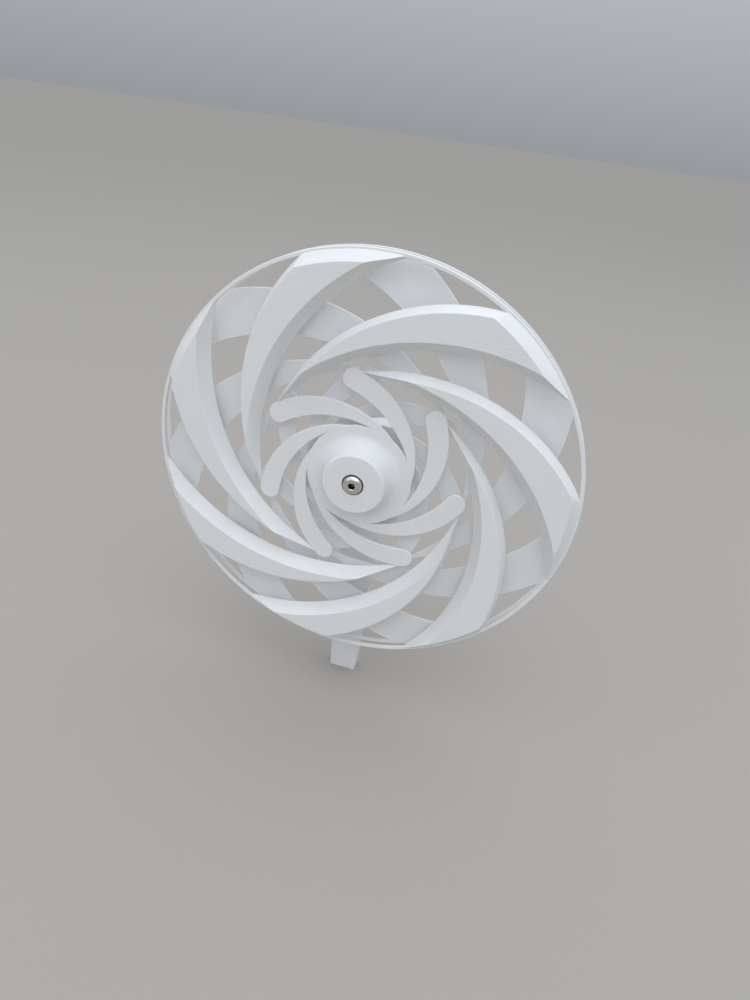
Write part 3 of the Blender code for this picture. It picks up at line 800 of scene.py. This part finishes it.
def fill_nut_crown(work):
    """The round crown that is rolled over the plastic collar."""
    core = NUT_CROWN_RADIUS - NUT_CROWN_ROUNDING
    start = NUT_HIGH.y - NUT_LOW.y - NUT_CROWN_ROUNDING
    edge = (core, start, NUT_CROWN_ROUNDING, NUT_CROWN_ROUNDING)
    profile = [(NUT_CROWN_RADIUS, NUT_METAL_HEIGHT / 2)]
    profile += quarter(*edge, 0, 90, NUT_EDGE_STEPS)
    turned_solid(work, profile, SMALL_ROUND_STEPS)


def fill_nut_bore(work):
    """The bore, with a countersink below and the collar's recess above."""
    height = NUT_HIGH.y - NUT_LOW.y
    recess_start = NUT_METAL_HEIGHT - SMALL_CHAMFER
    profile = [
        (NUT_BORE_RADIUS + NUT_COUNTERSINK, NUT_COUNTERSINK_START),
        (NUT_BORE_RADIUS, NUT_COUNTERSINK_END),
        (NUT_BORE_RADIUS, recess_start),
        (NUT_RECESS_RADIUS, recess_start),
        (NUT_RECESS_RADIUS, 2 * height),
    ]
    turned_solid(work, profile, SMALL_ROUND_STEPS)


def add_nut(steel, plastic):
    """The locknut, with its plastic collar as a piece of its own."""
    envelope = solid("envelope", fill_nut_envelope)
    hexagonal = combine(solid("nut", fill_nut_hexagon), [envelope], "INTERSECT")
    crowned = combine(hexagonal, [solid("crown", fill_nut_crown)], "UNION")
    mesh = take_mesh(combine(crowned, [solid("bore", fill_nut_bore)], "DIFFERENCE"))
    place = axle_place(NUT_LOW.y, math.pi)
    add_piece("locking_nut", mesh, place, steel, "root", "locknut")
    low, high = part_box("locknut_collar")
    extents = (COLLAR_BORE_RADIUS, COLLAR_RADIUS, low.y - NUT_LOW.y, high.y - NUT_LOW.y)
    collar = take_mesh(solid("collar", chamfered_ring, *extents))
    add_piece("nylon_insert", collar, place, plastic, "root", "locknut_collar")


# ---------------------------------------------------------------- stake


def fill_stake_plate(work):
    """The flat tapering plate, from inside the head down to the spike's blunt tip."""
    levels = [
        (AXLE_HEIGHT, STAKE_TOP_HALF_WIDTH),
        (SPIKE_START, STAKE_GROUND_HALF_WIDTH),
        (STAKE_LOW.z, SPIKE_TIP_HALF_WIDTH),
    ]
    right = [Vector((half, height)) for height, half in levels]
    left = [Vector((-half, height)) for height, half in reversed(levels)]
    loft(work, [(right + left, STAKE_FRONT), (right + left, STAKE_BACK)])


def fill_stake_head(work):
    """The deep round head, drawn about the axle, with softly rounded edges."""
    edge, rounding = STAKE_HEAD_EDGE, STAKE_HEAD_ROUNDING
    front = (STAKE_HEAD_RADIUS - edge, STAKE_FRONT + edge, edge, edge)
    back = (STAKE_HEAD_RADIUS - rounding, STAKE_HIGH.y - rounding, rounding, rounding)
    profile = quarter(*front, -90, 0, SMALL_EDGE_STEPS)
    profile += quarter(*back, 0, 90, LARGE_EDGE_STEPS)
    turned_solid(work, profile)


def fill_stake_bore(work):
    depth = 2 * STAKE_HIGH.y
    profile = [(STAKE_BORE_RADIUS, -depth), (STAKE_BORE_RADIUS, depth)]
    turned_solid(work, profile, SMALL_ROUND_STEPS)


def fill_nut_pocket(work):
    """The locknut's hexagonal pocket, with a small chamfer round its mouth."""
    outline = hexagon(NUT_POCKET_ACROSS_FLATS)
    mouth = hexagon(NUT_POCKET_ACROSS_FLATS + 2 * EDGE_ROUNDING)
    back = STAKE_HIGH.y
    levels = [
        (outline, NUT_POCKET_START),
        (outline, back - EDGE_ROUNDING),
        (mouth, back + CUT_PAST),
    ]
    loft(work, levels)


def add_stake(plastic):
    """The plate is drawn flat in X and Y, then stood up with its back towards +Y."""
    plate = solid("plate", fill_stake_plate)
    bevel = plate.modifiers.new("rounding", "BEVEL")
    bevel.width = STAKE_ROUNDING
    bevel.segments = STAKE_ROUNDING_SEGMENTS
    bevel.limit_method = "ANGLE"
    bevel.angle_limit = STAKE_CORNER_ANGLE
    head = solid("head", fill_stake_head)
    cutters = [solid("bore", fill_stake_bore), solid("pocket", fill_nut_pocket)]
    for round_piece in (head, *cutters):
        round_piece.location = (0, AXLE_HEIGHT, 0)
    stake = combine(combine(plate, [head], "UNION"), cutters, "DIFFERENCE")
    standing = Matrix.Rotation(math.pi, 4, "Z") @ Matrix.Rotation(math.pi / 2, 4, "X")
    mesh = take_mesh(stake)
    add_piece("printed_stake", mesh, standing, plastic, "root", "ground_stake")


# ---------------------------------------------------------------- materials


def new_material(name):
    material = bpy.data.materials.new(name)
    material.use_nodes = True
    tree = material.node_tree
    return material, tree, tree.nodes["Principled BSDF"]


def node(tree, kind, **settings):
    made = tree.nodes.new(kind)
    for name, value in settings.items():
        setattr(made, name, value)
    return made


def object_point(tree):
    """The piece's own coordinates in metres, and its normal."""
    source = node(tree, "ShaderNodeTexCoord")
    return source.outputs["Object"], source.outputs["Normal"]


def lines(tree, point, direction, spacing):
    """Fine ridges across a direction, as a height from 0 to 1."""
    along = node(tree, "ShaderNodeVectorMath", operation="DOT_PRODUCT")
    tree.links.new(point, along.inputs[0])
    along.inputs[1].default_value = Vector(direction).normalized() * (2 * math.pi / spacing)
    wave = node(tree, "ShaderNodeMath", operation="SINE")
    tree.links.new(along.outputs["Value"], wave.inputs[0])
    lifted = node(tree, "ShaderNodeMath", operation="MULTIPLY_ADD")
    tree.links.new(wave.outputs[0], lifted.inputs[0])
    lifted.inputs[1].default_value = 0.5
    lifted.inputs[2].default_value = 0.5
    return lifted.outputs[0]


def noise(tree, point, scale, detail=3.0, roughness=0.55):
    texture = node(tree, "ShaderNodeTexNoise")
    tree.links.new(point, texture.inputs["Vector"])
    texture.inputs["Scale"].default_value = scale
    texture.inputs["Detail"].default_value = detail
    texture.inputs["Roughness"].default_value = roughness
    return texture.outputs["Fac"]


def remap(tree, value, from_low, from_high, to_low, to_high):
    ranged = node(tree, "ShaderNodeMapRange")
    tree.links.new(value, ranged.inputs["Value"])
    for name, number in (
        ("From Min", from_low),
        ("From Max", from_high),
        ("To Min", to_low),
        ("To Max", to_high),
    ):
        ranged.inputs[name].default_value = number
    return ranged.outputs["Result"]


def mix_values(tree, share, low, high):
    mixed = node(tree, "ShaderNodeMix", data_type="FLOAT")
    tree.links.new(share, mixed.inputs["Factor"])
    tree.links.new(low, mixed.inputs["A"])
    tree.links.new(high, mixed.inputs["B"])
    return mixed.outputs["Result"]


def noise_between(tree, share, limits):
    """A number that follows a noise texture from one limit to the other."""
    return remap(tree, share, NOISE_LOW, NOISE_HIGH, *limits)


def colour_between(tree, share, low, high):
    ramp = node(tree, "ShaderNodeMix", data_type="RGBA")
    tree.links.new(share, ramp.inputs["Factor"])
    ramp.inputs["A"].default_value = (*low, 1)
    ramp.inputs["B"].default_value = (*high, 1)
    return ramp.outputs["Result"]


def bump(tree, height, distance, strength, below=None):
    bumped = node(tree, "ShaderNodeBump")
    tree.links.new(height, bumped.inputs["Height"])
    bumped.inputs["Distance"].default_value = distance
    bumped.inputs["Strength"].default_value = strength
    if below is not None:
        tree.links.new(below, bumped.inputs["Normal"])
    return bumped.outputs["Normal"]


def printed_plastic():
    """White filament: layer lines round the sides, raster lines on faces square to the axis."""
    material, tree, shader = new_material("printed_plastic")
    point, normal = object_point(tree)
    layers = lines(tree, point, (0, 0, 1), LAYER_SPACING)
    raster = lines(tree, point, RASTER_DIRECTION, RASTER_SPACING)
    facing = node(tree, "ShaderNodeSeparateXYZ")
    tree.links.new(normal, facing.inputs[0])
    square = node(tree, "ShaderNodeMath", operation="ABSOLUTE")
    tree.links.new(facing.outputs["Z"], square.inputs[0])
    flat_share = remap(tree, square.outputs[0], RASTER_FROM, RASTER_TO, 0, 1)
    grooves = mix_values(tree, flat_share, layers, raster)
    grain = noise(tree, point, GRAIN_SCALE)
    cloud = noise(tree, point, PLASTIC_CLOUD_SCALE, FINE_DETAIL)
    coarse = bump(tree, grooves, GROOVE_DEPTH, GROOVE_STRENGTH)
    fine = bump(tree, grain, GRAIN_DEPTH, GRAIN_STRENGTH, coarse)
    tree.links.new(fine, shader.inputs["Normal"])
    tree.links.new(noise_between(tree, cloud, PLASTIC_ROUGHNESS), shader.inputs["Roughness"])
    tint = colour_between(tree, cloud, *PLASTIC_COLOURS)
    tree.links.new(tint, shader.inputs["Base Color"])
    shader.inputs["Specular IOR Level"].default_value = PLASTIC_SPECULAR
    return material


def within(tree, value, low, high, softness):
    """One where a value lies between two limits, and zero elsewhere."""
    above = remap(tree, value, low - softness, low, 0, 1)
    below = remap(tree, value, high, high + softness, 1, 0)
    both = node(tree, "ShaderNodeMath", operation="MULTIPLY")
    tree.links.new(above, both.inputs[0])
    tree.links.new(below, both.inputs[1])
    return both.outputs[0]


def socket_painted_shade_share(tree, point):
    """One at the place of the screw's driver hole, where the steel gets painted shade.

    It goes by place alone, so the end of a ball that faces the boss gets the painted shade too, out of sight.
    """
    flat = node(tree, "ShaderNodeVectorMath", operation="MULTIPLY")
    tree.links.new(point, flat.inputs[0])
    flat.inputs[1].default_value = (1, 1, 0)
    radius = node(tree, "ShaderNodeVectorMath", operation="LENGTH")
    tree.links.new(flat.outputs[0], radius.inputs[0])
    height = node(tree, "ShaderNodeSeparateXYZ")
    tree.links.new(point, height.inputs[0])
    corner = SOCKET_ACROSS_FLATS / math.sqrt(3)
    floor = SCREW_HEAD_HEIGHT - SOCKET_DEPTH
    mouth = SCREW_HEAD_HEIGHT - SOCKET_RIM
    inside = within(tree, radius.outputs["Value"], 0, corner, SOCKET_SHADE_SOFTNESS)
    deep = within(tree, height.outputs["Z"], floor, mouth, SOCKET_SHADE_SOFTNESS)
    both = node(tree, "ShaderNodeMath", operation="MULTIPLY")
    tree.links.new(inside, both.inputs[0])
    tree.links.new(deep, both.inputs[1])
    return both.outputs[0]


def metal(name, colours, roughness, line_spacing):
    """Turned steel: faint rings round the axis, smears in its polish, and painted shade in the screw's driver
    hole.
    """
    material, tree, shader = new_material(name)
    point, _normal = object_point(tree)
    smear = noise(tree, point, SMEAR_SCALE, FINE_DETAIL)
    rings = lines(tree, point, (0, 0, 1), line_spacing)
    tree.links.new(bump(tree, rings, RING_DEPTH, RING_STRENGTH), shader.inputs["Normal"])
    tree.links.new(noise_between(tree, smear, roughness), shader.inputs["Roughness"])
    polished = colour_between(tree, smear, *colours)
    # Painted shade: the steel's colour turns near-black inside the screw's driver hole
    with_socket_shade = node(tree, "ShaderNodeMix", data_type="RGBA")
    tree.links.new(socket_painted_shade_share(tree, point), with_socket_shade.inputs["Factor"])
    tree.links.new(polished, with_socket_shade.inputs["A"])
    with_socket_shade.inputs["B"].default_value = (*SOCKET_PAINTED_SHADE_COLOUR, 1)
    tree.links.new(with_socket_shade.outputs["Result"], shader.inputs["Base Color"])
    shader.inputs["Metallic"].default_value = 1.0
    return material


def nylon():
    material, tree, shader = new_material("nylon")
    point, _normal = object_point(tree)
    cloud = noise(tree, point, NYLON_CLOUD_SCALE)
    tint = colour_between(tree, cloud, *NYLON_COLOURS)
    tree.links.new(tint, shader.inputs["Base Color"])
    tree.links.new(noise_between(tree, cloud, NYLON_ROUGHNESS), shader.inputs["Roughness"])
    tree.links.new(bump(tree, cloud, NYLON_DEPTH, NYLON_STRENGTH), shader.inputs["Normal"])
    return material


# ---------------------------------------------------------------- floor, lights and camera


def add_floor():
    """A plain pale floor that reaches as far as can be seen on every side."""
    work = bmesh.new()
    bmesh.ops.create_circle(work, cap_ends=True, segments=ROUND_STEPS, radius=FLOOR_RADIUS)
    mesh = bpy.data.meshes.new("studio_floor")
    work.to_mesh(mesh)
    work.free()
    material, tree, shader = new_material("studio_floor")
    point, _normal = object_point(tree)
    cloud = noise(tree, point, FLOOR_CLOUD_SCALE)
    low = tuple(FLOOR_DARKER * channel for channel in FLOOR_COLOUR)
    tree.links.new(colour_between(tree, cloud, low, FLOOR_COLOUR), shader.inputs["Base Color"])
    shader.inputs["Roughness"].default_value = FLOOR_ROUGHNESS
    mesh.materials.append(material)
    scratch_object("studio_floor", mesh)


def aim(piece, target):
    direction = Vector(target) - piece.location
    piece.rotation_euler = direction.to_track_quat("-Z", "Y").to_euler()


def add_area_light(name, location, size, power):
    """A square soft panel that faces the front wheel's hub."""
    data = bpy.data.lights.new(name, "AREA")
    data.shape = "SQUARE"
    data.size = size
    data.energy = power
    data.color = SKY_COLOUR
    light = bpy.data.objects.new(name, data)
    light.location = location
    aim(light, (0, FRONT_FACE.y, AXLE_HEIGHT))
    bpy.context.collection.objects.link(light)


def add_surround():
    """An overcast sky all round, between three and four times brighter overhead than level."""
    world = bpy.data.worlds.new("surround")
    world.use_nodes = True
    tree = world.node_tree
    source = node(tree, "ShaderNodeTexCoord")
    height = node(tree, "ShaderNodeSeparateXYZ")
    tree.links.new(source.outputs["Generated"], height.inputs[0])
    strength = remap(tree, height.outputs["Z"], 0, 1, HORIZON_STRENGTH, ZENITH_STRENGTH)
    background = tree.nodes["Background"]
    background.inputs["Color"].default_value = (*SKY_COLOUR, 1)
    tree.links.new(strength, background.inputs["Strength"])
    bpy.context.scene.world = world


def add_lights():
    """One big soft panel overhead and a weak one from the left, under an overcast sky."""
    add_area_light("sky", SKY_PLACE, SKY_SIZE, SKY_POWER)
    add_area_light("left_fill", FILL_PLACE, FILL_SIZE, FILL_POWER)
    add_surround()


def add_camera():
    """In front of the front wheel, above it and to its right, looking down at it."""
    across = Vector((math.cos(CAMERA_LEAN), 0, math.sin(CAMERA_LEAN)))
    upward = Vector((-math.sin(CAMERA_LEAN), 0, math.cos(CAMERA_LEAN)))
    outward = Vector((0, -1, 0))

    def direction(a, b, c):
        return a * across + b * upward + c * outward

    centre = Vector((0, FRONT_FACE.y + CAMERA_CENTRE_SHIFT * CAMERA_REACH, AXLE_HEIGHT))
    right = direction(*CAMERA_RIGHT)
    down = direction(*CAMERA_DOWN)
    backward = right.cross(-down)
    turn = Matrix((right, -down, backward)).transposed().to_4x4()
    data = bpy.data.cameras.new("camera")
    data.sensor_fit = "HORIZONTAL"
    data.sensor_width = SENSOR_WIDTH_MM
    data.lens = LENS_MM
    camera = bpy.data.objects.new("camera", data)
    place = centre + CAMERA_REACH * direction(*CAMERA_PLACE)
    camera.matrix_world = Matrix.Translation(place) @ turn
    bpy.context.collection.objects.link(camera)
    bpy.context.scene.camera = camera


# ---------------------------------------------------------------- the whole scene


def paint_frame(finishes):
    """Gives each CAD node that still shows the material of its slot."""
    slots = {row["node"]: row["material_slot"] for row in frame["record"]["subparts"]}
    for name, piece in frame["nodes"].items():
        piece.data.materials.clear()
        piece.data.materials.append(finishes[slots[name]])


def main():
    plastic = printed_plastic()
    stainless = metal("stainless", STAINLESS_COLOURS, STAINLESS_ROUGHNESS, STAINLESS_RINGS)
    bearing_steel = metal("bearing_steel", BEARING_COLOURS, BEARING_ROUGHNESS, BEARING_RINGS)
    finishes = {
        "white_plastic": plastic,
        "stainless": stainless,
        "bearing_steel": bearing_steel,
        "nylon": nylon(),
    }
    paint_frame(finishes)
    add_wheels(plastic)
    add_bearings(bearing_steel)
    add_screw(stainless)
    add_spacers(stainless)
    add_nut(stainless, finishes["nylon"])
    add_stake(plastic)
    add_floor()
    add_lights()
    add_camera()
    bpy.context.scene.view_settings.view_transform = "Standard"


main()
